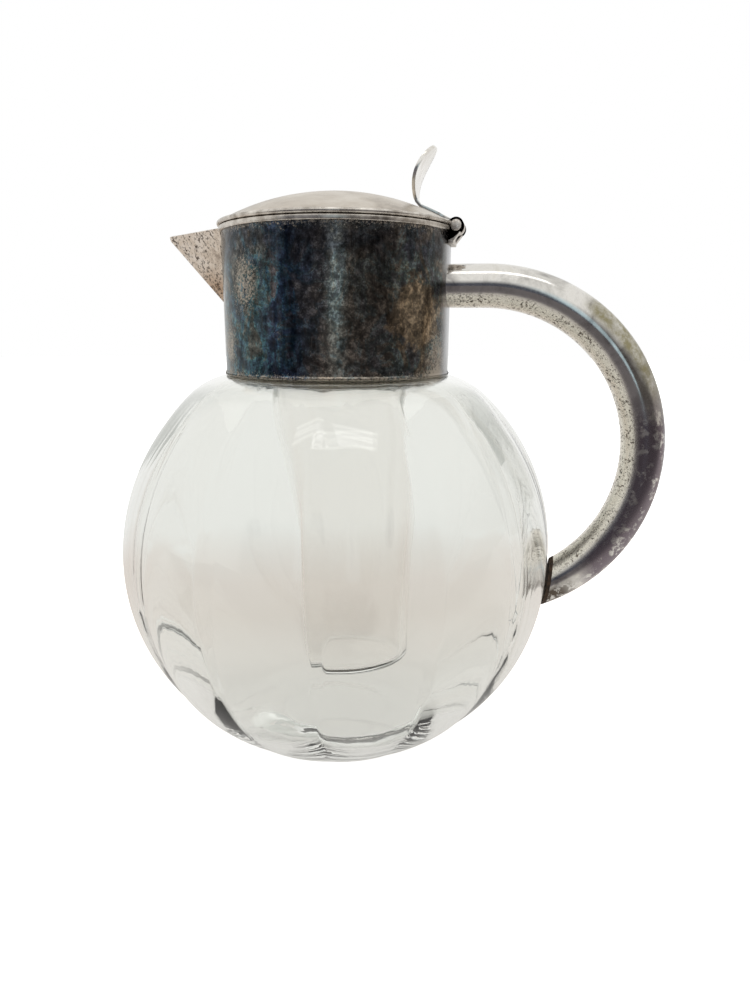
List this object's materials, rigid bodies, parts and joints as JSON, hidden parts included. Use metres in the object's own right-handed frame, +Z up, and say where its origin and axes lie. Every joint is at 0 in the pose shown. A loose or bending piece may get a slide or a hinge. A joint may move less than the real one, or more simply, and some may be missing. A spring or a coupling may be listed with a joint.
{
  "type": "glass water jug with silver mounts",
  "caption": "Lidded lobed glass bowl jug with a silver-plated collar, beak spout, hinged dome lid, bent tube handle and a hanging glass ice tube.",
  "frame": {"origin": "centre of the bowl's flat foot, on the table", "axes": "+Z up, +X towards the handle and the hinge, spout along -X, +Y across the jug"},
  "size_m": [0.2207, 0.1798, 0.2446],
  "materials": {
    "bowl_glass": "clear lobed blown glass, faintly green where thick",
    "tube_glass": "clear hand-blown glass",
    "tarnished_silver_plate": "silver plate on brass, heavily tarnished blue-black and brown, still mirror-like",
    "satin_silver_plate": "silver plate on brass, dulled to a warm satin",
    "worn_silver_plate": "polished silver plate on brass, worn to the brass along the crest and pitted inside the bend",
    "pitted_silver_plate": "silver plate on brass, pitted and pinkish",
    "silver_wire_trim": "silver-plated wire and small fittings, dark in the corners",
    "nickel_silver": "bare nickel silver sheet",
    "steel_pin": "drawn steel wire",
    "neck_plaster": "set plaster cement",
    "cork": "pressed cork",
    "gasket_rubber": "aged rubber"
  },
  "bodies": {
    "jug": {"glass_globe": "bowl_glass", "neck_cement": "neck_plaster", "collar_band": "tarnished_silver_plate", "collar_foot_ring": "silver_wire_trim", "collar_top_bead": "silver_wire_trim", "insert_seat_ring": "nickel_silver", "spout_beak": "pitted_silver_plate", "handle_tube": "worn_silver_plate", "handle_end_plate": "nickel_silver", "handle_cork_pad": "cork", "hinge_bracket": "silver_wire_trim", "hinge_pin": "steel_pin"},
    "lid": {"lid_dome": "satin_silver_plate", "lid_rim_wire": "silver_wire_trim", "lid_locating_ring": "nickel_silver", "lid_knuckle": "silver_wire_trim", "lid_strap_thumbpiece": "satin_silver_plate"},
    "ice_insert": {"ice_tube": "tube_glass", "insert_carrier_ring": "nickel_silver", "insert_gasket": "gasket_rubber"}
  },
  "joints": [
    {"name": "lid_hinge", "type": "hinge", "parent": "jug", "child": "lid", "pos_m": [0.0476, 0, 0.21531], "axis": [0, 1, 0], "range_deg": [0, 105]},
    {"name": "insert_lift", "type": "slide", "parent": "jug", "child": "ice_insert", "axis": [0, 0, 1], "range_m": [0, 0.0055]}
  ]
}
